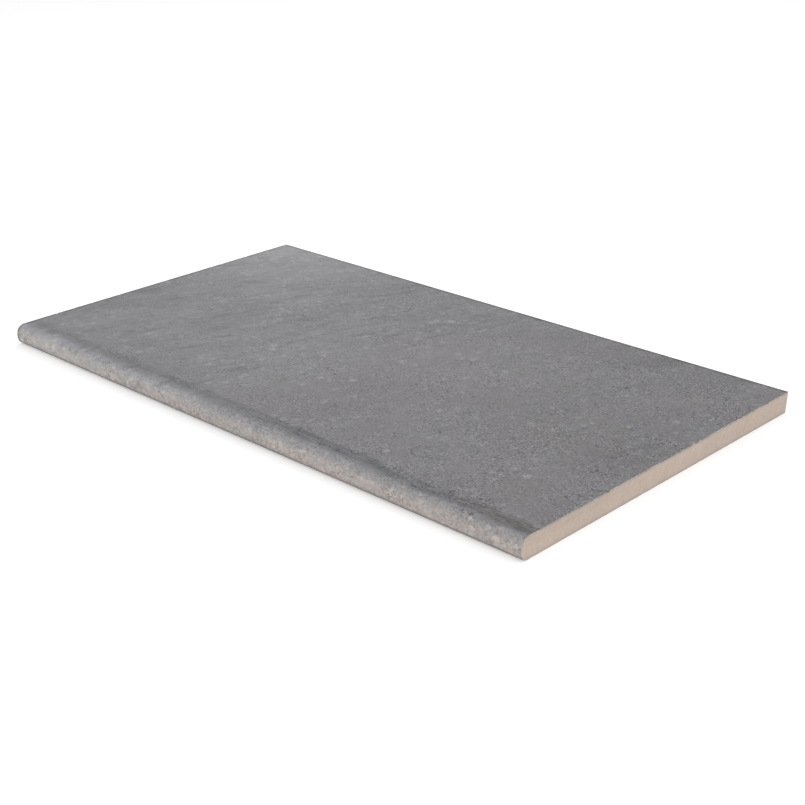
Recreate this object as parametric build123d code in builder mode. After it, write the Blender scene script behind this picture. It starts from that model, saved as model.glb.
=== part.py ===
from build123d import *

import math
import os

# A porcelain pool coping: one pressed and fired slab that lies flat along the pool's edge.
# One long edge is ground to a bullnose that faces the water, and the two short ends are sawn
# square. The long back edge is left as it came from the press, with the lean of the mould's wall.
# The underside has the shallow cells that the press leaves to key the mortar.
#
# Frame: millimetres, +Z up. The origin is on the bedding plane, under the middle of the slab.
# X runs along the pool's edge, and -Y points over the water.

# Slab
length = 600.0
width = 330.0
thickness = 18.0

# Bullnose: a top round and a low round, with a slow crown between them. The crown turns through
# this many degrees above its foremost line, and as many below it
nose_top_radius = 8.0
nose_low_radius = 6.0
nose_crown_angle = 16.6

# Back edge, with the degrees that it leans in towards its foot
back_lean = 6.0
back_arris_radius = 0.8
back_foot_radius = 1.2

# Bevel that eases the arris all round each sawn end
end_bevel = 0.4

# Pressed cells of the underside. The ribs between them and the plain borders round them all
# stand on the bedding plane
cell_size = 40.0
cell_depth = 0.8
cell_corner_radius = 4.0
cell_wall_angle = 25.0
rib_width = 8.0
end_border = 14.0
back_border = 14.0
nose_border = 18.0

# The nose's three arcs meet without a corner, so the crown's radius follows from the thickness
crown_rise = math.sin(math.radians(nose_crown_angle))
crown_reach = math.cos(math.radians(nose_crown_angle))
rounds_height = (nose_top_radius + nose_low_radius) * (1 - crown_rise)
nose_crown_radius = (thickness - rounds_height) / (2 * crown_rise)

# How far back from its foremost line the nose runs out into the top and into the underside
nose_top_depth = nose_crown_radius - (nose_crown_radius - nose_top_radius) * crown_reach
nose_low_depth = nose_crown_radius - (nose_crown_radius - nose_low_radius) * crown_reach

front = -width / 2
back = width / 2


def cells_in(span):
    """How many cells fit in a span, with a rib between each two."""
    return int((span + rib_width) // (cell_size + rib_width))


with BuildPart() as coping_tile:
    # The section across the slab, drawn in the YZ plane and run along the pool's edge
    with BuildSketch(Plane.YZ) as section:
        with BuildLine():
            nose_start = (front + nose_top_depth, thickness)
            nose_top = JernArc(nose_start, (-1, 0), nose_top_radius, 90 - nose_crown_angle)
            nose_crown = JernArc(nose_top @ 1, nose_top % 1, nose_crown_radius, 2 * nose_crown_angle)
            nose_low = JernArc(nose_crown @ 1, nose_crown % 1, nose_low_radius, 90 - nose_crown_angle)
            arris_start = (back - back_arris_radius, thickness)
            arris = JernArc(arris_start, (1, 0), back_arris_radius, -90 - back_lean)
            lean = arris % 1
            foot = arris @ 1 - lean * ((arris @ 1).Y / lean.Y)
            Line(nose_low @ 1, foot)
            Line(foot, arris @ 1)
            Line(arris_start, nose_start)
        make_face()
        foot_corner = section.vertices().group_by(Axis.Y)[0].sort_by(Axis.X)[-1]
        fillet(foot_corner, back_foot_radius)
    extrude(amount=length / 2, both=True)

    # The saw's arris is eased all round both ends
    sawn_ends = coping_tile.faces().filter_by(Axis.X)
    chamfer(sawn_ends.edges(), end_bevel)

    # The cells are pressed up into the underside
    bed = coping_tile.faces().sort_by(Axis.Z)[0].bounding_box()
    field_front = bed.min.Y + nose_border
    field_back = bed.max.Y - back_border
    columns = cells_in(length - 2 * end_border)
    rows = cells_in(field_back - field_front)
    pitch = cell_size + rib_width
    with BuildSketch(Plane.XY):
        with Locations((0, (field_front + field_back) / 2)):
            with GridLocations(pitch, pitch, columns, rows):
                RectangleRounded(cell_size, cell_size, cell_corner_radius)
    extrude(amount=cell_depth, taper=cell_wall_angle, mode=Mode.SUBTRACT)
coping_tile.part.label = "coping_tile"

os.makedirs("parts", exist_ok=True)
export_step(coping_tile.part, "parts/coping_tile.step")
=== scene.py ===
import math
from types import SimpleNamespace

import bmesh
import bpy
from mathutils import Matrix, Vector


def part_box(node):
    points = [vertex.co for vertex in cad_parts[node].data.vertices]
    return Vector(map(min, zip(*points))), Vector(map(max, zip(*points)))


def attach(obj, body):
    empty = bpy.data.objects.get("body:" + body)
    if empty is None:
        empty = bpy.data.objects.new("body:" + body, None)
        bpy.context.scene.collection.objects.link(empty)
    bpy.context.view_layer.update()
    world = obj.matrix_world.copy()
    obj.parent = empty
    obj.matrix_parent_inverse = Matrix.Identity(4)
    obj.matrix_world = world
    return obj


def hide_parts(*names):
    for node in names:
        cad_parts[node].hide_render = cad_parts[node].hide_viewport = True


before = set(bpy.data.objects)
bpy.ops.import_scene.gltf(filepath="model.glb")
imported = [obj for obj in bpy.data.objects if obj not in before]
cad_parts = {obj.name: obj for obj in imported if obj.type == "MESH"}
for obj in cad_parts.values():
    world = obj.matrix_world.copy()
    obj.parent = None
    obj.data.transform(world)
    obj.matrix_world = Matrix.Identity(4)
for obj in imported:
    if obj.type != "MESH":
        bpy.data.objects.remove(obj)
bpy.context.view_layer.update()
tileLow, tileHigh = (Vector(corner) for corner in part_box("coping_tile"))
middle = (tileLow + tileHigh) / 2
length = tileHigh.x - tileLow.x
thickness = tileHigh.z - tileLow.z
print("frame loaded, tile", [round(side * 1000, 1) for side in tileHigh - tileLow], "mm")


# selecting in object mode, and in edit mode by place

samePlace = 2e-6   # metres; two places closer than this are one
sharpAngle = 0.5   # radians between two faces, from which their edge is sharp


def near(a, b):
    return abs(a - b) < samePlace


def isSharp(edge):
    return edge.calc_face_angle(0) > sharpAngle


def selectOnly(piece, *others):  # the first one becomes active
    bpy.ops.object.select_all(action="DESELECT")
    for chosen in (piece, *others):
        chosen.select_set(True)
    bpy.context.view_layer.objects.active = piece


def startEdit(piece):
    selectOnly(piece)
    bpy.ops.object.mode_set(mode="EDIT")


def endEdit():
    bpy.ops.object.mode_set(mode="OBJECT")


def selectByPlace(piece, kind, test):
    bpy.ops.mesh.select_mode(type=kind)
    bpy.ops.mesh.select_all(action="DESELECT")
    mesh = bmesh.from_edit_mesh(piece.data)
    parts = {"VERT": mesh.verts, "EDGE": mesh.edges, "FACE": mesh.faces}[kind]
    for part in parts:
        if test(part):
            part.select_set(True)
    bmesh.update_edit_mesh(piece.data)


# the upper shell: the top face, the bullnose in front of it and the pressed edge behind it

shell = {
    "step": 0.002,           # between the mesh lines of the top face
    "noseTopRadius": 0.008,
    "noseLowRadius": 0.006,
    "noseCrownAngle": 16.6,  # degrees that the crown turns above its foremost line, and below it
    "noseSteps": (9, 6, 8),  # facets of the top round, the crown and the low round
    "backLean": 6.0,         # degrees that the back edge leans in towards its foot
    "arrisRadius": 0.0008,
    "footRadius": 0.0012,
    "roundSteps": 4,
}

crownAngle = math.radians(shell["noseCrownAngle"])
lean = math.radians(shell["backLean"])
roundsHeight = (shell["noseTopRadius"] + shell["noseLowRadius"]) * (1 - math.sin(crownAngle))
crownRadius = (thickness - roundsHeight) / (2 * math.sin(crownAngle))
noseTopDepth = crownRadius - (crownRadius - shell["noseTopRadius"]) * math.cos(crownAngle)
noseLowDepth = crownRadius - (crownRadius - shell["noseLowRadius"]) * math.cos(crownAngle)
crownHeight = shell["noseLowRadius"] + (crownRadius - shell["noseLowRadius"]) * math.sin(crownAngle)
noseTopY = tileLow.y + noseTopDepth
bedFrontY = tileLow.y + noseLowDepth


def spinEdges(steps, angle, y, z):
    bpy.ops.mesh.spin(steps=steps, angle=-angle, center=(0, y, z), axis=(1, 0, 0))  # it turns left-handed


def makeShell():
    backY = tileHigh.y - shell["arrisRadius"]
    topZ = tileHigh.z
    depth = backY - noseTopY
    bpy.ops.object.select_all(action="DESELECT")
    bpy.ops.mesh.primitive_grid_add(x_subdivisions=round(length / shell["step"]),
                                    y_subdivisions=round(depth / shell["step"]),
                                    size=1, location=(middle.x, (noseTopY + backY) / 2, topZ))
    piece = bpy.context.object
    bpy.ops.transform.resize(value=(length, depth, 1))
    bpy.ops.object.transform_apply(location=True, rotation=True, scale=True)
    startEdit(piece)

    # the bullnose, spun down from the front border in three arcs
    selectByPlace(piece, "EDGE", lambda edge: all(near(v.co.y, noseTopY) for v in edge.verts))
    topSteps, crownSteps, lowSteps = shell["noseSteps"]
    spinEdges(topSteps, math.pi / 2 - crownAngle, noseTopY, topZ - shell["noseTopRadius"])
    spinEdges(crownSteps, 2 * crownAngle, tileLow.y + crownRadius, tileLow.z + crownHeight)
    spinEdges(lowSteps, math.pi / 2 - crownAngle, bedFrontY, tileLow.z + shell["noseLowRadius"])

    # the back edge: round the arris, down along the lean, round the foot
    arris, foot = shell["arrisRadius"], shell["footRadius"]
    selectByPlace(piece, "EDGE", lambda edge: all(near(v.co.y, backY) for v in edge.verts))
    spinEdges(shell["roundSteps"], -math.pi / 2 - lean, backY, topZ - arris)
    drop = thickness - arris - arris * math.sin(lean) - foot * (1 - math.sin(lean))
    bpy.ops.mesh.extrude_region_move(TRANSFORM_OT_translate={"value": (0, -drop * math.tan(lean), -drop)})
    low = [v.co.copy() for v in bmesh.from_edit_mesh(piece.data).verts if v.select][0]
    bedBackY = low.y - foot * math.cos(lean)
    spinEdges(shell["roundSteps"], -math.pi / 2 + lean, bedBackY, low.z + foot * math.sin(lean))
    endEdit()
    return piece, bedBackY


# the pressed cells of the underside, modelled once and arrayed

cells = {
    "size": 0.040,
    "depth": 0.0008,
    "cornerRadius": 0.004,
    "cornerSteps": 4,
    "wallAngle": 25.0,
    "ribWidth": 0.008,
    "endBorder": 0.014,
    "backBorder": 0.014,
    "noseBorder": 0.018,
    "softEdge": 0.00025,     # how far the press rounds the cells' edges
    "softSteps": 2,
    "joinWithin": 0.00002,   # neighbours' border points closer than this are joined
}


def makeCells(bedBackY):
    pitch = cells["size"] + cells["ribWidth"]
    fieldX = length - 2 * cells["endBorder"]
    fieldFront = bedFrontY + cells["noseBorder"]
    fieldBack = bedBackY - cells["backBorder"]
    columns = math.floor((fieldX + cells["ribWidth"]) / pitch)
    rows = math.floor((fieldBack - fieldFront + cells["ribWidth"]) / pitch)
    firstX = middle.x - pitch * (columns - 1) / 2
    firstY = (fieldFront + fieldBack) / 2 - pitch * (rows - 1) / 2
    bpy.ops.object.select_all(action="DESELECT")
    bpy.ops.mesh.primitive_plane_add(size=cells["size"], location=(firstX, firstY, tileLow.z))
    cell = bpy.context.object
    bpy.ops.object.transform_apply(location=True, rotation=True, scale=True)
    startEdit(cell)

    # the cell's mouth with rounded corners, then the square of rib round it
    bpy.ops.mesh.select_all(action="SELECT")
    bpy.ops.mesh.bevel(offset=cells["cornerRadius"], affect="VERTICES", segments=cells["cornerSteps"])
    bpy.ops.mesh.primitive_plane_add(size=pitch, location=(firstX, firstY, tileLow.z))
    bpy.ops.mesh.delete(type="ONLY_FACE")
    selectByPlace(cell, "EDGE", lambda edge: len(edge.link_faces) < 2)
    bpy.ops.mesh.fill()

    # the mouth, the one face with many corners, pushed up into the clay, with its edges softened
    selectByPlace(cell, "FACE", lambda face: len(face.verts) > 4)
    wallFoot = cells["depth"] * math.tan(math.radians(cells["wallAngle"]))
    bpy.ops.mesh.inset(thickness=wallFoot, depth=cells["depth"])
    selectByPlace(cell, "EDGE", isSharp)
    bpy.ops.mesh.bevel(offset=cells["softEdge"], affect="EDGES", segments=cells["softSteps"])
    endEdit()

    for count, offset in ((columns, (pitch, 0, 0)), (rows, (0, pitch, 0))):
        repeat = cell.modifiers.new("repeat", "ARRAY")
        repeat.count = count
        repeat.use_relative_offset = False
        repeat.use_constant_offset = True
        repeat.constant_offset_displace = offset
        repeat.use_merge_vertices = True
        repeat.merge_threshold = cells["joinWithin"]
        bpy.ops.object.modifier_apply(modifier=repeat.name)
    return cell


# modifiers that move the skin in, never out

def pushIn(piece, name, groupName, depth, size, share=None, octaves=3):
    texture = bpy.data.textures.new(name, "CLOUDS")
    texture.noise_scale = size
    texture.noise_depth = octaves
    if share:
        texture.use_color_ramp = True
        for stop, position, shade in zip(texture.color_ramp.elements, share, (0, 1)):
            stop.position = position
            stop.color = (shade, shade, shade, 1)
    dent = piece.modifiers.new(name, "DISPLACE")
    dent.texture = texture
    dent.texture_coords = "LOCAL"
    dent.direction = "NORMAL"
    dent.mid_level = 1.0
    dent.strength = depth
    dent.vertex_group = groupName


def applyModifiers(piece):
    selectOnly(piece)
    for modifier in list(piece.modifiers):
        bpy.ops.object.modifier_apply(modifier=modifier.name)


def groupSelected(piece, name):
    piece.vertex_groups.active_index = piece.vertex_groups.new(name=name).index
    bpy.ops.object.vertex_group_assign()


# the slab: shell, cells and sawn ends made one closed skin

slab = {
    "relief": 0.00015,       # depth of the glazed face's soft hollows
    "reliefSize": 0.022,
    "reliefFoot": 0.002,     # they end at this height on the nose
    "endBevel": 0.0004,      # the eased arris of the sawn ends
    "bevelSteps": 2,
    "glazeThickness": 0.00045,   # seen below the arris on the sawn ends
    "rimCuts": ((0.0018, 0.003, 2), (0.0008, 0.0018, 1)),  # lengths of its edges, and cuts that each gets
    "nibbleDepth": 0.00014,  # the arris is a little ragged all along
    "nibbleSize": 0.0011,
    "chipDepth": 0.00042,    # and chipped here and there
    "chipSize": 0.0034,
    "chipShare": (0.25, 0.37),   # noise level of a whole chip, and of none
    "bareArris": 0.3,        # share of the back arris's radius that the glaze leaves bare
    "glazedDepth": 0.0012,   # how far down from the top it may run, but for the nose
    "stripCorners": 8,       # most corners of a face in the narrow strip along the arris
    "smoothAngle": 32.0,
}


def endDepth(point):
    return length / 2 - abs(point.x - middle.x)  # how far in from the nearer end


def atEnd(point):
    return endDepth(point) < samePlace


def onRim(point):
    return endDepth(point) < slab["endBevel"] + samePlace


def underGlaze(point):
    return point.y < tileHigh.y - shell["arrisRadius"] / 2 and point.z > tileLow.z + slab["reliefFoot"]


def rimEdge(edge, shortest, longest):
    one, other = (v.co for v in edge.verts)
    if not (onRim(one) and onRim(other) and underGlaze(one) and underGlaze(other)):
        return False
    return near(one.x, other.x) and shortest < edge.calc_length() <= longest


def insideEnd(vert):  # in the flat of a sawn end, away from its arris
    return atEnd(vert.co) and all(atEnd(edge.other_vert(vert).co) for edge in vert.link_edges)


def wearsGlaze(face):
    spot = face.calc_center_median()
    if spot.y >= tileHigh.y - shell["arrisRadius"] * slab["bareArris"]:
        return False
    return spot.z > tileHigh.z - slab["glazedDepth"] or spot.y < bedFrontY


def isSawn(face):
    return all(atEnd(v.co) for v in face.verts)


def cutsGlaze(face):
    inStrip = len(face.verts) <= slab["stripCorners"] and all(onRim(v.co) for v in face.verts)
    return inStrip and wearsGlaze(face)


def makeSlab():
    piece, bedBackY = makeShell()

    # soft relief in the glazed face before the ends are closed
    startEdit(piece)
    selectByPlace(piece, "VERT", lambda v: underGlaze(v.co))
    groupSelected(piece, "glazed")
    endEdit()
    pushIn(piece, "relief", "glazed", slab["relief"], slab["reliefSize"])
    applyModifiers(piece)

    # the sawn ends, and the bed filled in round the cells
    startEdit(piece)
    for endX in (tileLow.x, tileHigh.x):
        selectByPlace(piece, "EDGE", lambda edge: (
            edge.is_boundary and all(near(v.co.x, endX) for v in edge.verts)))
        bpy.ops.mesh.edge_face_add()
    endEdit()
    cell = makeCells(bedBackY)
    selectOnly(piece, cell)
    bpy.ops.object.join()
    startEdit(piece)
    selectByPlace(piece, "EDGE", lambda edge: edge.is_boundary)
    bpy.ops.mesh.fill()
    bpy.ops.mesh.select_all(action="SELECT")
    bpy.ops.mesh.normals_make_consistent(inside=False)

    # the arris all round each end, with close points along it where the glaze chips
    selectByPlace(piece, "EDGE", lambda edge: all(atEnd(v.co) for v in edge.verts) and isSharp(edge))
    bpy.ops.mesh.bevel(offset=slab["endBevel"], affect="EDGES", segments=slab["bevelSteps"])
    for shortest, longest, cuts in slab["rimCuts"]:
        selectByPlace(piece, "EDGE", lambda edge: rimEdge(edge, shortest, longest))
        bpy.ops.mesh.subdivide(number_cuts=cuts)
    selectByPlace(piece, "FACE", isSawn)
    bpy.ops.mesh.inset(thickness=slab["glazeThickness"])
    selectByPlace(piece, "VERT", lambda v: onRim(v.co) and underGlaze(v.co) and not insideEnd(v))
    groupSelected(piece, "arris")
    endEdit()
    pushIn(piece, "nibbles", "arris", slab["nibbleDepth"], slab["nibbleSize"])
    pushIn(piece, "chips", "arris", slab["chipDepth"], slab["chipSize"], slab["chipShare"])
    applyModifiers(piece)
    return piece


def giveMaterial(piece, material, test):
    piece.data.materials.append(material)
    startEdit(piece)
    selectByPlace(piece, "FACE", test)
    piece.active_material_index = len(piece.data.materials) - 1
    bpy.ops.object.material_slot_assign()
    endEdit()


# material helpers

mixSocket = {"amount": 0, "a": 6, "b": 7, "colour": 2}  # a Mix node's sockets when it mixes colours
noiseMiddle = 0.5    # a noise varies to both sides of this level


def srgb(red, green, blue):
    def toLinear(level):
        level /= 255
        return level / 12.92 if level <= 0.04045 else ((level + 0.055) / 1.055) ** 2.4
    return toLinear(red), toLinear(green), toLinear(blue), 1.0


class Tree:
    def __init__(self, name, patterns=None, world=None):
        self.material = world or bpy.data.materials.new(name)
        self.material.use_nodes = True
        self.nodes = self.material.node_tree.nodes
        self.links = self.material.node_tree.links
        self.shader = self.nodes["Background" if world else "Principled BSDF"]
        self.place = self.add("TexCoord").outputs["Object"]
        self.patterns = patterns

    def plug(self, target, value):
        if isinstance(value, bpy.types.NodeSocket):
            self.links.new(value, target)
        else:
            target.default_value = value

    def add(self, kind, *values, **settings):  # a node with its first inputs, None for one left as it is
        node = self.nodes.new("ShaderNode" + kind)
        for name, setting in settings.items():
            setattr(node, name, setting)
        for target, value in zip(node.inputs, values):
            if value is not None:
                self.plug(target, value)
        return node

    # numbers

    def math(self, operation, a, b=0.0):
        return self.add("Math", a, b, operation=operation).outputs[0]

    def plus(self, first, *others):
        for other in others:
            first = self.math("ADD", first, other)
        return first

    def minus(self, a, b):
        return self.math("SUBTRACT", a, b)

    def times(self, first, *others):
        for other in others:
            first = self.math("MULTIPLY", first, other)
        return first

    def centred(self, value, reach):
        return self.times(self.minus(value, noiseMiddle), reach)

    def total(self, start, *parts):
        return self.plus(start, *(self.centred(value, weight) for value, weight in parts))

    def remap(self, value, low, high, toLow=0.0, toHigh=1.0, kind="LINEAR"):
        return self.add("MapRange", value, low, high, toLow, toHigh, interpolation_type=kind).outputs[0]

    def smooth(self, *values):
        return self.remap(*values, kind="SMOOTHSTEP")

    def blend(self, share, atNone, atFull):
        return self.remap(share, 0.0, 1.0, atNone, atFull)

    def ridge(self, value, foot, top, centre=noiseMiddle):  # a line where the value passes its centre
        return self.remap(self.math("ABSOLUTE", self.minus(value, centre)), foot, top)

    def stress(self, value, power=1.5, gain=3.0):  # quiet in the middle, strong at both ends
        away = self.minus(value, noiseMiddle)
        size = self.math("POWER", self.math("ABSOLUTE", away), power)
        return self.plus(self.times(size, self.math("SIGN", away), gain), noiseMiddle)

    # one value for light, another for what is seen, also in gloss and through glass
    def seen(self, light, view):
        path = self.add("LightPath").outputs
        through = self.math("MAXIMUM", path["Is Glossy Ray"], path["Is Transmission Ray"])
        return self.blend(self.math("MAXIMUM", path["Is Camera Ray"], through), light, view)

    # places

    def axes(self, vector):
        return self.add("SeparateXYZ", vector).outputs

    def vectorMath(self, operation, *values, output=0):
        return self.add("VectorMath", *values, operation=operation).outputs[output]

    def mapping(self, scale=(1, 1, 1), turn=0.0, move=(0, 0, 0), vector=None):
        settings = [("Scale", scale)]
        if turn:
            settings.insert(0, ("Rotation", (0, 0, math.radians(turn))))  # the stretch follows the turn
        for setting, value in settings:
            node = self.add("Mapping", vector or self.place)
            node.inputs[setting].default_value = value
            vector = node.outputs[0]
        node.inputs["Location"].default_value = move
        return vector

    def shift(self, amount, size, detail, vector=None):  # pushes places about, so that edges run unevenly
        away = self.vectorMath("SUBTRACT", self.noise(size, detail, output="Color"), (noiseMiddle,) * 3)
        return self.vectorMath("MULTIPLY_ADD", away, (amount,) * 3, vector or self.place)

    def reachTo(self, vector, spotX, spotY, halfLength, halfWidth, turn=0.0):  # 1 on the rim of an oval spot
        local = self.add("Mapping", vector, (spotX, spotY, tileHigh.z), (0, 0, math.radians(turn)),
                         (halfLength, halfWidth, 1.0), vector_type="TEXTURE").outputs[0]
        return self.vectorMath("LENGTH", local, output="Value"), local

    # patterns

    def noise(self, size, detail=2.0, rough=0.5, vector=None, distortion=0.0, output="Fac"):
        node = self.add("TexNoise", vector or self.place)
        settings = {"Scale": 1 / size, "Detail": detail, "Roughness": rough, "Distortion": distortion}
        for setting, value in settings.items():
            node.inputs[setting].default_value = value
        return node.outputs[output]

    def pattern(self, name, vector=None, distortion=0.0):
        size, detail, rough, *mapped = self.patterns[name]
        if mapped:
            vector = self.mapping(vector=vector, **mapped[0])
        return self.noise(size, detail, rough, vector, distortion)

    def wobble(self, name, reach):
        return self.centred(self.pattern(name), reach)

    def cells(self, size, vector=None):
        node = self.add("TexVoronoi", vector or self.place, voronoi_dimensions="2D" if vector else "3D")
        node.inputs["Scale"].default_value = 1 / size
        return node.outputs

    # a spot in each cell whose colour is over a level
    def picked(self, spot, vector=None, full=1.0, level=None):
        size, channel, ownLevel, foot, top, *move = spot
        if move:
            vector = self.mapping(move=move[0], vector=vector)
        cell = self.cells(size, vector)
        isPicked = self.math("GREATER_THAN", self.axes(cell["Color"])[channel], level or ownLevel)
        return self.times(isPicked, self.remap(cell["Distance"], foot, top, 0.0, full))

    # a spot in each cell, as strong as the cell's colour
    def graded(self, spot, vector, full=1.0):
        size, none, whole, foot, top = spot
        cell = self.cells(size, vector)
        share = self.remap(self.axes(cell["Color"])[0], none, whole, 0.0, full)
        return self.times(self.remap(cell["Distance"], foot, top), share)

    # colours and the surface

    def ramp(self, value, stops):
        node = self.add("ValToRGB", value)
        elements = node.color_ramp.elements
        while len(elements) < len(stops):
            elements.new(0.5)
        for element, (position, colour) in zip(elements, stops):
            element.position = position
            element.color = colour
        return node.outputs[0]

    def mix(self, amount, a, b):
        node = self.add("Mix", data_type="RGBA")
        for name, value in (("amount", amount), ("a", a), ("b", b)):
            self.plug(node.inputs[mixSocket[name]], value)
        return node.outputs[mixSocket["colour"]]

    def brighten(self, colour, factor):
        vector = colour if isinstance(colour, bpy.types.NodeSocket) else colour[:3]
        return self.vectorMath("SCALE", vector, None, None, factor)

    def bump(self, height, depth, below=None):
        node = self.add("Bump")
        node.inputs["Distance"].default_value = depth
        self.plug(node.inputs["Height"], height)
        if below:
            self.plug(node.inputs["Normal"], below)
        return node.outputs[0]

    def finish(self, colour, roughness, normal):
        for socket, value in (("Base Color", colour), ("Roughness", roughness), ("Normal", normal)):
            self.plug(self.shader.inputs[socket], value)
        return self.material


# the glazed face: a printed limestone pattern under matt glaze, sprayed lighter over the nose, with painted
# light making it lighter still low on the nose

glaze = {
    "left": srgb(120.0, 119.9, 122.0),
    "mauve": srgb(119.9, 116.6, 120.4),
    "olive": srgb(117.6, 117.9, 119.0),
    "tan": srgb(121.4, 117.7, 115.8),
    "nose": [  # distance back from the foremost line, and the colours there at the left and the right end
        # the two lowest stops are lighter with painted light, against the lamp light that falls off low on
        # the nose
        (-0.012, srgb(170, 166, 163), srgb(171, 162, 158)),
        (-0.004, srgb(165, 162, 160), srgb(164, 156, 152)),
        (-0.0025, srgb(158, 158, 160), srgb(153, 148, 145)),
        (0.0043, srgb(143, 143, 148), srgb(136, 135, 137)),
        (0.0085, srgb(123, 123, 126), srgb(120, 119, 121)),
    ],
    # painted shade at the nose's foot, where it turns under towards the floor
    "noseFootShade": srgb(128, 117, 110),
    "noseBlot": srgb(190, 186, 184),
    "band": srgb(94, 95, 99),
    "bandEnd": srgb(93, 90, 89),     # the same near the right end
    "fleck": srgb(176, 171, 167),
    "dot": srgb(62, 62, 66),
    "engobe": srgb(186, 180, 177),   # the pale layer under the glaze
    "nickReach": 0.0014,             # how far in from the ends the saw has nicked the glaze
    "roughness": (0.6, 0.7),
    "specular": 0.165,
    "grainDepth": 0.00012,
    "fineDepth": 0.00016,
}

# how strong each pattern is; two numbers are for the left and right parts, or for the face and the nose
strength = {
    "fineGrain": 3.6,
    "grain": 0.72,
    "mottle": 0.2,
    "clouds": 0.24,
    "smoke": (0.5, 0.25),
    "grainByPart": (0.6, 1.1),
    "broadOnNose": 0.45,       # of the broad patterns, as a share of what they are on the face
    "hue": (1.0, 0.8),         # of the pattern and its grain
    "tan": (1.6, 2.6),
    "leftBlots": 0.05,         # more of them in the left part
    "blots": 0.3,
    "pits": (0.2, 0.07),
    "wisps": 0.16,
    "strokes": 0.3,
    "paintedRimShade": 0.48,
    "noseBlots": 0.6,
    # the next is the painted shade at the nose's foot
    "foot": 0.72,
    "flecks": 0.26,
    "specks": (0.5, 0.72),
    "dots": 0.65,
    "hairline": 0.32,
}

# noises of the print: size in metres, detail, roughness, and where or how it is read
printPatterns = {
    "wander": (0.035, 4.0, 0.6),     # of the edges of the nose and the band
    "dither": (0.0018, 3.0, 0.7),    # the same, grain by grain
    "drift": (0.03, 4.0, 0.65),      # of the line between the left and right parts
    "hue": (0.04, 4.0, 0.8),
    "hueGrain": (0.006, 3.0, 0.8),
    "tan": (0.03, 4.0, 0.7, {"move": (0.6, 0.1, 0.2)}),
    "tanGrain": (0.0046, 3.0, 0.85, {"move": (0.3, 0.2, 0.5)}),
    "bandStreaks": (0.0045, 3.0, 0.7, {"scale": (0.2, 1.0, 1.0)}),
    "clouds": (0.06, 2.0, 0.6),
    "smoke": (0.026, 4.0, 0.75, {"scale": (1.0, 0.3, 1.0), "turn": 30.0}),
    "patches": (0.042, 4.0, 0.65, {"move": (0.13, 0.41, 0.2)}),  # where the grain is strong
    "fineGrain": (0.0018, 3.0, 0.95),
    "grain": (0.0042, 2.0, 0.8),
    "mottle": (0.015, 3.0, 0.6, {"move": (0.2, 0.6, 0.1)}),
    "blotGroups": (0.055, 2.0, 0.5, {"move": (0.5, 0.1, 0.3)}),
    "wisps": (0.008, 3.0, 0.65, {"scale": (1.0, 0.22, 1.0), "turn": 27.0, "move": (0.4, 0.9, 0.3)}),
    "darkStrokes": (0.007, 1.0, 0.4, {"move": (0.05, 0.02, 0.0)}),
    "darkShare": (0.006, 2.0, 0.6, {"move": (0.02, 0.05, 0.4)}),
    "lightStrokes": (0.007, 1.0, 0.4, {"move": (0.21, 0.34, 0.0)}),
    "lightShare": (0.006, 2.0, 0.6, {"move": (0.34, 0.21, 0.4)}),
    "foot": (0.006, 3.0, 0.6),
    "hairline": (0.026, 1.0, 0.4, {"move": (0.31, 0.17, 0.0)}),
    "hairlineShare": (0.024, 2.0, 0.5, {"move": (0.7, 0.2, 0.1)}),
    "nicks": (0.003, 4.0, 0.65),
}
distortion = {"fineGrain": 0.12, "grain": 0.4}

# levels between which a pattern goes from none to full, or from the third value to the fourth
levels = {
    "hueStart": 0.49,            # the level that it adds up from
    "hue": (0.36, 0.64),
    "tanStart": -0.04,
    "zone": (1.0, 0.3, 0.0, 0.25),
    "bandStreaks": (0.38, 0.64, 0.25, 1.35),
    "patches": (0.38, 0.62, 0.52, 1.3),
    "calmNose": (0.4, 1.0, 0.9, 0.7),
    "blotGroups": (0.45, 0.6),
    "paleWisps": (0.56, 0.66, 0.0, 0.8),
    "darkWisps": (0.45, 0.36),
    "wispParts": (0.2, 0.9, 1.0, 0.3),
    "stroke": (0.05, 0.015),     # to both sides of the noise's middle
    "darkShare": (0.56, 0.62),
    "lightShare": (0.6, 0.66),
    "mark": (1.0, 0.25),         # of a single line's or stain's reach
    "spotTop": 0.3,              # of a single fleck's or dot's
    "curl": (0.08, 0.03),
    "curlOpening": (0.7, 0.55, 0.0, 0.6),
    "speck": (0.93, 0.8),        # that picks a cell, on the face and on the nose
    "hairline": (0.006, 0.002),
    "hairlineShare": (0.56, 0.62),
    "nicks": (0.52, 0.74),
    "gloss": (0.3, 0.7),
}

# how far places are shifted, in what size, and its detail
shifts = {
    "warped": (0.02, 0.06, 3.0),
    "ragged": (0.006, 0.005, 3.0),
    "fleck": (0.009, 0.006, 3.0),
    "curved": (0.0025, 0.004, 2.0),
    "wavy": (0.004, 0.008, 2.0),
}

# spots, one to a cell: the cell's size, the channel and level of its colour that pick it, and the
# distances from its middle, in cells, at which the spot fades out and is full
spots = {
    "pit": (0.0062, 0, 0.84, 0.2, 0.06, (0.003, 0.007, 0.0)),
    "noseBlot": (0.0085, 2, 0.75, 0.26, 0.1),
    "speck": (0.008, 1, None, 0.11, 0.05, (0.002, 0.004, 0.001)),  # its level is in levels
    "dot": (0.034, 1, 0.86, 0.05, 0.02, (0.011, 0.019, 0.0)),
}

# spots in every cell: its size, the levels of its colour for none and a full one, and the same distances
gradedSpots = {
    "blot": (0.01, 0.4, 0.95, 0.36, 0.14),
    "fleck": (0.027, 0.78, 1.0, 0.15, 0.03),
}

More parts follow.
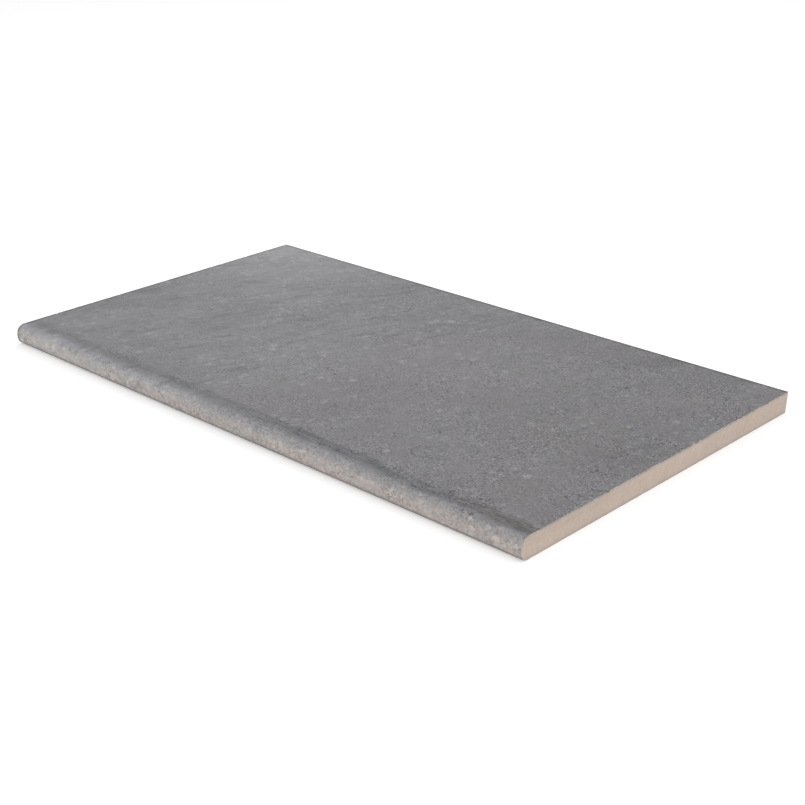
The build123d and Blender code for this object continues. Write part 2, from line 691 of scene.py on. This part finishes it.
# where the print changes, in metres: x from the tile's middle, and the reach back from the foremost line
layout = {
    "wander": 0.012,
    "dither": 0.007,
    "noseSpan": 0.012,           # the nose's colours reach this far to each side of the foremost line,
    "noseSkew": 0.005,           # and stand askew by this much a metre
    "noseEnd": (0.009, 0.0072),
    "noseFade": (0.009, -0.001),
    "partX": -0.035,             # where the right part of the print begins,
    "partTurnY": 0.025,          # further right behind this y,
    "partSlope": 0.9,            # by this much a metre
    "partSoft": 0.014,
    "partDrift": 0.1,
    "rough": (-0.25, 0.28),      # from the calmest x to the roughest
    "bandLag": (-0.05, 0.2, -0.003, 0.0005),  # two x, and how far forward the band's front moves there
    "bandFront": 0.0068,
    "bandFull": (0.0, 0.25, 0.0125, 0.0108),
    "bandBack": (0.0245, 0.018),
    "bandStrength": (-0.25, 0.1, 0.35, 1.0),
    "bandEnd": (0.2, 0.27),
    # the next is the painted shade along the back arris and the left end
    "rim": (0.0046, 0.0014),     # the shade along the back arris and the left end, from none to full
    # the painted shade at the nose's foot: the heights where it begins and is full, and how much they wander
    "footShadeHeight": (0.005, 0.003),
    "footShadeWander": 0.0022,
    "footShadeFront": 0.0015,         # full up to here behind the foremost line, and gone at the bed
    "nick": (0.0001, -0.0003),
}

# single marks that stand out in the print
marks = {
    "flecks": [  # x, y, reach and strength
        (0.247, 0.025, 0.0032, 0.4), (0.244, -0.091, 0.0044, 0.38), (0.14, -0.128, 0.0032, 0.45),
        (0.024, -0.051, 0.0034, 0.34), (0.067, 0.049, 0.0032, 0.36), (0.105, 0.047, 0.004, 0.34),
        (0.024, 0.006, 0.0036, 0.3), (-0.008, 0.105, 0.005, 0.4), (-0.078, -0.048, 0.0042, 0.38),
        (-0.068, -0.07, 0.0028, 0.36), (0.222, 0.012, 0.0024, 0.45), (0.181, 0.015, 0.0034, 0.3),
        (-0.085, -0.04, 0.005, 0.2), (-0.034, -0.028, 0.0042, 0.24), (-0.195, -0.057, 0.0044, 0.22),
        (-0.055, -0.065, 0.0032, 0.2),
    ],
    "dots": [
        (0.275, -0.052, 0.0024, 0.75), (0.061, -0.088, 0.0024, 0.35), (0.102, -0.051, 0.002, 0.35),
        (0.291, -0.091, 0.003, 0.4), (-0.222, 0.015, 0.0036, 0.22), (-0.197, -0.022, 0.004, 0.22),
        (-0.072, 0.02, 0.0034, 0.2),
    ],
    "lines": [  # x, y, half length, half width, degrees of turn, lighter or darker
        (-0.148, 0.0262, 0.013, 0.0011, 3.0, 0.26), (-0.15, 0.0238, 0.009, 0.001, 3.0, 0.2),
        (-0.147, 0.0302, 0.015, 0.0011, -5.0, -0.2), (-0.136, 0.0225, 0.01, 0.0009, 8.0, -0.16),
        (0.192, -0.087, 0.009, 0.0011, 105.0, -0.34), (0.146, -0.076, 0.006, 0.0022, -40.0, -0.26),
        (0.125, -0.105, 0.008, 0.0014, -40.0, -0.26), (0.084, -0.0745, 0.012, 0.0013, -5.0, -0.22),
        (0.088, -0.079, 0.01, 0.0011, 6.0, -0.2), (0.207, -0.017, 0.0035, 0.0012, -60.0, 0.38),
        (0.2, -0.006, 0.006, 0.0014, 50.0, -0.22), (0.218, -0.086, 0.007, 0.0013, 160.0, -0.24),
        (-0.194, 0.028, 0.008, 0.0042, 80.0, 0.22), (-0.21, 0.003, 0.0085, 0.0062, 60.0, 0.2),
        (-0.206, 0.013, 0.006, 0.0046, 0.0, 0.14), (-0.229, -0.001, 0.0056, 0.0042, 0.0, 0.16),
        (-0.267, 0.012, 0.012, 0.0048, 20.0, 0.16), (-0.185, 0.06, 0.012, 0.0042, -45.0, 0.18),
        (-0.222, 0.083, 0.0046, 0.004, 0.0, 0.2), (-0.211, 0.09, 0.0042, 0.0036, 0.0, 0.18),
        (-0.205, 0.08, 0.0046, 0.0044, 0.0, 0.22), (-0.195, 0.086, 0.004, 0.0036, 0.0, 0.18),
        (-0.199, 0.071, 0.0044, 0.0036, 0.0, 0.18), (-0.216, 0.073, 0.004, 0.0036, 0.0, 0.14),
    ],
    "stains": [  # the same for broad ones
        (0.09, 0.05, 0.17, 0.085, 20.0, 0.077), (-0.13, 0.07, 0.17, 0.17, 0.0, -0.052),
        (-0.23, -0.13, 0.17, 0.085, 0.0, 0.065), (0.27, -0.01, 0.08, 0.04, 80.0, -0.099),
        (-0.17, -0.01, 0.08, 0.04, 100.0, -0.075), (-0.27, 0.15, 0.05, 0.05, 0.0, 0.094),
        (-0.25, -0.09, 0.12, 0.034, 60.0, 0.079), (-0.27, -0.03, 0.12, 0.034, 60.0, -0.057),
        (-0.01, -0.03, 0.05, 0.05, 0.0, 0.055), (0.05, -0.09, 0.17, 0.048, 80.0, -0.038),
        (0.17, -0.07, 0.17, 0.048, 0.0, 0.031), (-0.13, -0.07, 0.08, 0.022, 60.0, 0.066),
        (0.19, 0.15, 0.05, 0.014, 60.0, -0.122), (0.19, 0.01, 0.08, 0.022, 80.0, -0.059),
    ],
    "tanZones": [(0.235, -0.015, 0.095, 0.05, -50.0), (0.018, 0.005, 0.045, 0.028, 95.0),
                 (0.262, -0.11, 0.055, 0.03, 20.0)],
    "curl": (0.161, -0.111, 0.0088, 42.0),  # a hairline like a C: centre, radius, degrees of turn
}


def printFields(tree):
    at = SimpleNamespace()
    at.x, at.y, at.z = tree.axes(tree.place)
    at.warped, at.ragged, at.wavy = (tree.shift(*shifts[kind]) for kind in ("warped", "ragged", "wavy"))

    # distance back from the foremost line, unrolled over the nose
    at.along = tree.plus(tree.minus(at.y, tileLow.y), tree.minus(at.z, tileHigh.z))
    at.flat = tree.add("CombineXYZ", at.x, at.along).outputs[0]
    at.raggedFlat = tree.shift(*shifts["ragged"], at.flat)
    at.wander = tree.plus(tree.wobble("wander", layout["wander"]), tree.wobble("dither", layout["dither"]))
    at.fromNose = tree.plus(at.along, at.wander, tree.times(at.x, layout["noseSkew"]))
    at.onNose = tree.smooth(at.along, *layout["noseFade"])

    # the right part of the print is warmer and rougher than the left, beyond a wandering line
    drift = tree.wobble("drift", layout["partDrift"])
    behind = tree.math("MAXIMUM", tree.minus(at.y, layout["partTurnY"]), 0.0)
    line = tree.plus(tree.times(behind, -layout["partSlope"]), drift)
    fromLine = tree.plus(tree.minus(at.x, layout["partX"]), line)
    at.rightPart = tree.smooth(fromLine, -layout["partSoft"], layout["partSoft"])
    at.roughPart = tree.remap(tree.plus(at.x, drift), *layout["rough"])

    # grain comes and goes in patches, and is calmer on the nose
    at.patches = tree.remap(tree.pattern("patches", at.warped), *levels["patches"])
    calm = tree.blend(at.onNose, 1.0, tree.remap(at.roughPart, *levels["calmNose"]))
    at.spread = tree.times(at.patches, calm, tree.blend(at.roughPart, *strength["grainByPart"]))
    at.even = tree.blend(at.onNose, 1.0, strength["broadOnNose"])
    at.clouds = tree.pattern("clouds", at.warped)
    at.fineGrain = tree.stress(tree.pattern("fineGrain", distortion=distortion["fineGrain"]))
    at.grain = tree.pattern("grain", distortion=distortion["grain"])
    return at


def printGround(tree, at):
    broadHue, grainHue = strength["hue"]
    broadTan, grainTan = strength["tan"]
    hue = tree.total(levels["hueStart"], (tree.pattern("hue", at.warped), broadHue),
                     (tree.pattern("hueGrain"), grainHue))
    tanShare = tree.total(levels["tanStart"], (tree.pattern("tanGrain"), grainTan),
                          (tree.pattern("tan", at.warped), broadTan))
    for zone in marks["tanZones"]:
        tanShare = tree.plus(tanShare, tree.smooth(tree.reachTo(at.warped, *zone)[0], *levels["zone"]))
    right = tree.mix(tree.remap(hue, *levels["hue"]), glaze["olive"], glaze["mauve"])
    right = tree.mix(tree.remap(tanShare, 0.0, 1.0), right, glaze["tan"])
    return tree.mix(at.rightPart, glaze["left"], right)


# lighter over the nose where the glaze is sprayed on, lighter still low down with painted light, and with a
# darker band behind it
def addNoseAndBand(tree, at, ground):
    span = layout["noseSpan"]
    unrolled = tree.remap(at.fromNose, -span, span)
    ends = []
    for side in (1, 2):
        stops = [((row[0] + span) / (2 * span), row[side]) for row in glaze["nose"]]
        ends.append(tree.ramp(unrolled, stops))
    ground = tree.mix(tree.remap(at.fromNose, *layout["noseEnd"]), ground, tree.mix(at.roughPart, *ends))
    front = tree.plus(at.along, at.wander, tree.remap(at.x, *layout["bandLag"]))
    risen = tree.smooth(front, layout["bandFront"], tree.remap(at.x, *layout["bandFull"]))
    inBand = tree.times(risen, tree.smooth(at.fromNose, *layout["bandBack"]))
    streaks = tree.remap(tree.pattern("bandStreaks", at.warped), *levels["bandStreaks"])
    inBand = tree.times(inBand, tree.remap(at.x, *layout["bandStrength"]), streaks)
    paint = tree.mix(tree.remap(at.x, *layout["bandEnd"]), glaze["band"], glaze["bandEnd"])
    return tree.mix(inBand, ground, paint)


# light and dark: clouds, smoky veins, grain, painted shade along the back arris and the left end, blots,
# wisps, strokes and stains, as a factor on the colour
def printTone(tree, at):
    smokes = tree.times(at.even, tree.blend(at.rightPart, *strength["smoke"]))
    tone = tree.total(1.0, (at.clouds, strength["clouds"]), (tree.pattern("smoke", at.warped), smokes),
                      (tree.pattern("mottle", at.warped), tree.times(at.even, strength["mottle"])),
                      (at.grain, tree.times(at.spread, strength["grain"])),
                      (at.fineGrain, tree.times(at.spread, strength["fineGrain"])))
    # painted shade: darker along the back arris and the left end
    toRim = tree.math("MINIMUM", tree.minus(tileHigh.y, at.y), tree.minus(at.x, tileLow.x))
    tone = tree.minus(tone, tree.smooth(toRim, *layout["rim"], 0.0, strength["paintedRimShade"]))

    # pale blots in groups, and small pits of darker grain
    groups = tree.plus(tree.pattern("blotGroups"), tree.blend(at.rightPart, strength["leftBlots"], 0.0))
    blots = tree.graded(gradedSpots["blot"], at.raggedFlat)
    blots = tree.times(blots, tree.remap(groups, *levels["blotGroups"]), strength["blots"])
    tone = tree.plus(tone, blots)
    pits = tree.times(tree.picked(spots["pit"], at.raggedFlat), at.patches)
    tone = tree.minus(tone, tree.times(pits, tree.blend(at.onNose, *strength["pits"])))

    # wisps, strongest in the left part, and short curved strokes, dark and light
    wisp = tree.pattern("wisps", at.warped)
    wisps = tree.minus(tree.remap(wisp, *levels["paleWisps"]), tree.remap(wisp, *levels["darkWisps"]))
    wisps = tree.times(wisps, tree.remap(at.rightPart, *levels["wispParts"]), strength["wisps"])
    tone = tree.plus(tone, wisps)
    curved = tree.shift(*shifts["curved"])
    for kind, change in (("dark", tree.minus), ("light", tree.plus)):
        line = tree.ridge(tree.pattern(kind + "Strokes", curved), *levels["stroke"])
        held = tree.remap(tree.pattern(kind + "Share"), *levels[kind + "Share"])
        stroke = tree.times(line, held, tree.times(at.spread, strength["strokes"]))
        tone = change(tone, stroke)

    for kind, field in (("stains", at.warped), ("lines", at.wavy)):
        for *oval, amount in marks[kind]:
            reach = tree.reachTo(field, *oval)[0]
            tone = tree.plus(tone, tree.smooth(reach, *levels["mark"], 0.0, amount))
    return tone


# the single flecks, dots and hairline
def addSingleMarks(tree, at, colour):
    for kind, paint in (("flecks", "fleck"), ("dots", "dot")):
        share = 0.0
        for spotX, spotY, size, full in marks[kind]:
            centre = (spotX, spotY, tileHigh.z)
            reach = tree.vectorMath("DISTANCE", at.ragged, centre, output="Value")
            spot = tree.remap(reach, size, size * levels["spotTop"], 0.0, full)
            share = tree.math("MAXIMUM", share, spot)
        colour = tree.mix(share, colour, glaze[paint])
    curlX, curlY, radius, turn = marks["curl"]
    reach, local = tree.reachTo(at.wavy, curlX, curlY, radius, radius, turn)
    opening = tree.remap(tree.axes(local)[0], *levels["curlOpening"])
    line = tree.ridge(reach, *levels["curl"], centre=1.0)
    return tree.mix(tree.times(line, opening), colour, glaze["dot"])


# pale blots on the nose, and painted shade, darker and browner, at its foot where it turns under towards the
# floor
def addNoseBlotsAndShade(tree, at, colour):
    blots = tree.picked(spots["noseBlot"], at.raggedFlat, strength["noseBlots"])
    colour = tree.mix(tree.times(at.onNose, blots), colour, glaze["noseBlot"])
    height = tree.plus(at.z, tree.wobble("foot", layout["footShadeWander"]))
    inFootShade = tree.times(tree.remap(height, *layout["footShadeHeight"]),
                        tree.remap(at.y, bedFrontY, tileLow.y + layout["footShadeFront"]))
    return tree.mix(tree.times(inFootShade, strength["foot"]), colour, glaze["noseFootShade"])


# light flecks, bright specks, dark dots and hairlines
def addScatteredMarks(tree, at, colour):
    flecks = tree.graded(gradedSpots["fleck"], tree.shift(*shifts["fleck"], at.flat), strength["flecks"])
    colour = tree.mix(flecks, colour, glaze["fleck"])
    level = tree.blend(at.onNose, *levels["speck"])
    specks = tree.picked(spots["speck"], at.flat, level=level)
    specks = tree.times(specks, tree.blend(at.onNose, *strength["specks"]))
    colour = tree.mix(specks, colour, tree.mix(at.onNose, glaze["fleck"], glaze["noseBlot"]))
    dots = tree.picked(spots["dot"], at.raggedFlat, strength["dots"])
    colour = tree.mix(dots, colour, glaze["dot"])
    line = tree.ridge(tree.pattern("hairline"), *levels["hairline"])
    held = tree.remap(tree.pattern("hairlineShare"), *levels["hairlineShare"])
    return tree.mix(tree.times(line, held, strength["hairline"]), colour, glaze["dot"])


# the saw has nicked the glaze along the ends, down to the pale engobe
def addNicks(tree, at, colour):
    fromEnd = tree.minus(length / 2, tree.math("ABSOLUTE", tree.minus(at.x, middle.x)))
    reach = tree.remap(tree.pattern("nicks"), *levels["nicks"], 0.0, glaze["nickReach"])
    return tree.mix(tree.remap(tree.minus(fromEnd, reach), *layout["nick"]), colour, glaze["engobe"])


def makeGlaze():
    tree = Tree("glazedFace", printPatterns)
    at = printFields(tree)
    ground = addNoseAndBand(tree, at, printGround(tree, at))
    colour = tree.brighten(ground, printTone(tree, at))
    for addMarks in (addSingleMarks, addNoseBlotsAndShade, addScatteredMarks, addNicks):
        colour = addMarks(tree, at, colour)
    tree.shader.inputs["Specular IOR Level"].default_value = glaze["specular"]
    return tree.finish(colour, tree.remap(at.clouds, *levels["gloss"], *glaze["roughness"]),
                       tree.bump(at.grain, glaze["grainDepth"], tree.bump(at.fineGrain, glaze["fineDepth"])))


# the bare body: pressed on the back edge and the underside, sawn at the ends

body = {
    "speck": srgb(120, 104, 92),
    "roughness": (0.72, 0.86),
}

pressed = {
    "clay": srgb(186, 170, 158),
    "kilnWash": srgb(205, 198, 190),
    "overspray": srgb(153, 148, 145),
    "tone": (0.22, 0.16),            # strength of the clouds and the grain
    "bumps": (0.0004, 0.00012),      # depth of the same
    "ribHeight": (0.0002, 0.00005),  # above which the wash ends, and below which it is full
    "faceDown": (-0.7, -0.95),
    "wash": (0.42, 0.62, 0.15, 0.75),
    "sprayWander": (0.006, 1.6),     # at the top, and how much more behind the nose
    "sprayTop": (0.0032, 0.0006),
    "sprayNose": (0.0048, 0.0008),
    "spray": 0.85,
    "ironSpeck": (0.0055, 0, 0.72, 0.07, 0.03),
    "ironSpecks": 0.5,
    "patterns": {
        "clouds": (0.03, 4.0, 0.6),
        "grain": (0.0022, 4.0, 0.75),
        "wash": (0.012, 5.0, 0.7),
        "sprayEdge": (0.005, 5.0, 0.7),
    },
}


def makePressedBody():
    tree = Tree("pressedBody", pressed["patterns"])
    y, z = tree.axes(tree.place)[1:]
    clouds, grain = tree.pattern("clouds"), tree.pattern("grain")
    cloudTone, grainTone = pressed["tone"]
    colour = tree.brighten(pressed["clay"], tree.total(1.0, (clouds, cloudTone), (grain, grainTone)))

    # kiln wash on the ribs, brushed thin
    onRibs = tree.remap(z, *pressed["ribHeight"])
    normal = tree.add("NewGeometry").outputs["Normal"]
    faceDown = tree.remap(tree.axes(normal)[2], *pressed["faceDown"])
    thin = tree.remap(tree.pattern("wash"), *pressed["wash"])
    colour = tree.mix(tree.times(onRibs, faceDown, thin), colour, pressed["kilnWash"])

    # overspray of glaze at the top of the back edge and behind the nose
    wander, noseShare = pressed["sprayWander"]
    ragged = tree.wobble("sprayEdge", wander)
    fromTop = tree.plus(tree.minus(tileHigh.z, z), ragged)
    fromNose = tree.plus(tree.minus(y, bedFrontY), tree.times(ragged, noseShare))
    spray = tree.math("MAXIMUM", tree.remap(fromTop, *pressed["sprayTop"]),
                      tree.remap(fromNose, *pressed["sprayNose"]))
    colour = tree.mix(tree.times(spray, pressed["spray"]), colour, pressed["overspray"])

    # dark iron specks
    colour = tree.mix(tree.picked(pressed["ironSpeck"], full=pressed["ironSpecks"]), colour, body["speck"])
    cloudDepth, grainDepth = pressed["bumps"]
    return tree.finish(colour, tree.remap(clouds, *levels["gloss"], *body["roughness"]),
                       tree.bump(grain, grainDepth, tree.bump(clouds, cloudDepth)))


sawn = {
    "body": srgb(190, 173.4, 161.4),
    "underGlaze": srgb(158, 155, 154),
    "tone": {"clouds": 0.2, "mottle": 0.16, "grain": 0.48, "streaks": 0.16},
    "bumps": (0.0001, 0.00012),      # depth of the streaks, and of the grain with its pits
    "darkeningHeight": (0.008, 0.0125),   # darker up in the front part
    "darkeningPlace": (-0.02, -0.09),
    "frontDarkening": 0.07,
    "pit": (0.0024, 0, 0.8, 0.16, 0.06),
    "pits": 0.35,
    "edgeWander": 0.0012,
    "glazeTaken": (0.0022, 0.0007, 0.0, 0.85),    # by the body under the top,
    "takenLess": (0.05, 0.13, 0.0, 0.0011),       # but less towards the back
    # the next is painted shade at the foot, where the sawn end meets the floor
    "sawnFootShade": (0.003, 0.0012, 0.0, 0.22),           # at the foot, its edge wandering more
    "sawnShadeWander": 2.0,
    "patterns": {
        "clouds": (0.018, 4.0, 0.6),
        "mottle": (0.005, 3.0, 0.6),
        "grain": (0.0016, 3.0, 0.8),
        "streaks": (0.0042, 4.0, 0.7, {"scale": (1.0, 1.0, 0.16)}),
        "edge": (0.002, 3.0, 0.7),
    },
}


def makeSawnBody():
    tree = Tree("sawnBody", sawn["patterns"])
    y, z = tree.axes(tree.place)[1:]
    field = {kind: tree.pattern(kind) for kind in sawn["tone"]}
    tone = tree.total(1.0, *((field[kind], weight) for kind, weight in sawn["tone"].items()))
    # darker high in the front part of the sawn end
    frontDarkening = tree.times(tree.remap(z, *sawn["darkeningHeight"]), tree.remap(y, *sawn["darkeningPlace"]), sawn["frontDarkening"])
    colour = tree.brighten(sawn["body"], tree.minus(tone, frontDarkening))
    pits = tree.picked(sawn["pit"])
    colour = tree.mix(tree.times(pits, sawn["pits"]), colour, body["speck"])
    ragged = tree.wobble("edge", sawn["edgeWander"])
    fromTop = tree.plus(tree.minus(tileHigh.z, z), tree.plus(ragged, tree.remap(y, *sawn["takenLess"])))
    colour = tree.mix(tree.remap(fromTop, *sawn["glazeTaken"]), colour, sawn["underGlaze"])
    # painted shade: darker towards the foot of the sawn end
    sawnFootShade = tree.remap(tree.plus(z, tree.times(ragged, sawn["sawnShadeWander"])), *sawn["sawnFootShade"])
    colour = tree.mix(sawnFootShade, colour, body["speck"])
    streakDepth, grainDepth = sawn["bumps"]
    streaked = tree.bump(field["streaks"], streakDepth)
    return tree.finish(colour, tree.remap(field["streaks"], *levels["gloss"], *body["roughness"]),
                       tree.bump(tree.minus(field["grain"], pits), grainDepth, streaked))


# the cut edge of the glaze, bare down to the engobe in places

cut = {
    "top": srgb(136, 135, 137),
    "foot": srgb(171, 162, 158),     # low on the nose
    "footBelow": (0.002, 0.007),     # how far down from the top it changes
    "barer": (1.0, 0.8),             # strength of the fine and the broad pattern
    "barerBehind": (0.03, 0.12, 0.0, 0.12),
    "bare": (0.46, 0.66),
    "tone": 0.25,
    "roughness": (0.55, 0.8),
    "bump": 0.0001,
    "patterns": {
        "fine": (0.0016, 4.0, 0.75),
        "broad": (0.012, 2.0, 0.5),
    },
}


def makeGlazeCut():
    tree = Tree("glazeCut", cut["patterns"])
    y, z = tree.axes(tree.place)[1:]
    fine, broad = tree.pattern("fine"), tree.pattern("broad")
    fineShare, broadShare = cut["barer"]
    barer = tree.total(noiseMiddle, (fine, fineShare), (broad, broadShare))
    bare = tree.remap(tree.plus(barer, tree.remap(y, *cut["barerBehind"])), *cut["bare"])
    low = tree.remap(z, *(tileHigh.z - depth for depth in cut["footBelow"]))
    colour = tree.mix(bare, tree.mix(low, cut["top"], cut["foot"]), glaze["engobe"])
    colour = tree.brighten(colour, tree.total(1.0, (fine, cut["tone"])))
    return tree.finish(colour, tree.blend(bare, *cut["roughness"]), tree.bump(fine, cut["bump"]))


copingTile = makeSlab()
copingTile.name = "copingTile"
triangles = sum(len(face.vertices) - 2 for face in copingTile.data.polygons)
print("slab", len(copingTile.data.vertices), "points,", triangles, "triangles")

giveMaterial(copingTile, makePressedBody(), lambda face: True)
giveMaterial(copingTile, makeGlaze(), wearsGlaze)
giveMaterial(copingTile, makeSawnBody(), isSawn)
giveMaterial(copingTile, makeGlazeCut(), cutsGlaze)
bpy.ops.object.shade_smooth_by_angle(angle=math.radians(slab["smoothAngle"]))
weighted = copingTile.modifiers.new("evenShading", "WEIGHTED_NORMAL")
weighted.keep_sharp = True
applyModifiers(copingTile)
copingTile.vertex_groups.clear()
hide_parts("coping_tile")
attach(copingTile, "root")
print("materials", [slot.name for slot in copingTile.material_slots])


# floor, light and camera

studio = {
    "floorSize": 60.0,
    "floorColour": 0.8,
    "floorRoughness": 0.9,
    "floorLift": 0.29,       # seen, but lighting nothing, so that the floor is white round the shadow
    "worldLight": 0.84,
    "worldSeen": 0.97,       # as pale as the far floor
    "lamps": {               # power in watts, size and place
        "frontFill": (8.5, 1.5, (0.95, -1.3, 0.85)),
        "rightFill": (3.8, 1.5, (1.6, 0.55, 1.1)),
        "backKey": (3.8, 1.2, (-1.2, 1.0, 1.2)),
        "cornerGlow": (0.62, 0.25, (-0.55, 0.4, 0.12)),
    },
    "sensor": 36.0,          # millimetres, as the lens
    "lens": 65.4515,
    "nearest": 0.01,         # what the camera sees begins here
    "cameraPlace": (0.83308, -0.81233, 0.47734),
    "azimuth": 44.631,
    "elevation": 23.38,
    "roll": -1.09,
}


def makeFloor():
    bpy.ops.object.select_all(action="DESELECT")
    bpy.ops.mesh.primitive_plane_add(size=studio["floorSize"], location=(0, 0, 0))
    floor = bpy.context.object
    floor.name = "floor"
    tree = Tree("paleFloor")
    tree.shader.inputs["Base Color"].default_value = (studio["floorColour"],) * 3 + (1.0,)
    tree.shader.inputs["Roughness"].default_value = studio["floorRoughness"]
    tree.shader.inputs["Specular IOR Level"].default_value = 0.0
    tree.shader.inputs["Emission Color"].default_value = (1, 1, 1, 1)
    tree.plug(tree.shader.inputs["Emission Strength"], tree.seen(0.0, studio["floorLift"]))
    floor.data.materials.append(tree.material)


def makeLight():
    world = bpy.data.worlds.new("studio")
    bpy.context.scene.world = world
    tree = Tree("studio", world=world)
    tree.shader.inputs["Color"].default_value = (1, 1, 1, 1)
    tree.plug(tree.shader.inputs["Strength"], tree.seen(studio["worldLight"], studio["worldSeen"]))
    for name, (power, size, place) in studio["lamps"].items():
        bpy.ops.object.light_add(type="AREA", location=place)
        lamp = bpy.context.object
        lamp.name = name
        lamp.visible_camera = False
        lamp.data.size = size
        lamp.data.energy = power
        lamp.rotation_euler = (Vector(place) - middle).to_track_quat("Z", "Y").to_euler()


def makeCamera():
    bpy.ops.object.camera_add()
    camera = bpy.context.object
    camera.name = "camera"
    camera.data.lens = studio["lens"]
    camera.data.sensor_width = studio["sensor"]
    camera.data.clip_start = studio["nearest"]
    turn = Matrix.Rotation(math.radians(studio["azimuth"]), 4, "Z")
    tilt = Matrix.Rotation(math.radians(90 - studio["elevation"]), 4, "X")
    roll = Matrix.Rotation(math.radians(studio["roll"]), 4, "Z")
    camera.matrix_world = Matrix.Translation(studio["cameraPlace"]) @ turn @ tilt @ roll
    bpy.context.scene.camera = camera


makeFloor()
makeLight()
makeCamera()
bpy.context.scene.view_settings.view_transform = "Standard"
print("floor, light and camera")
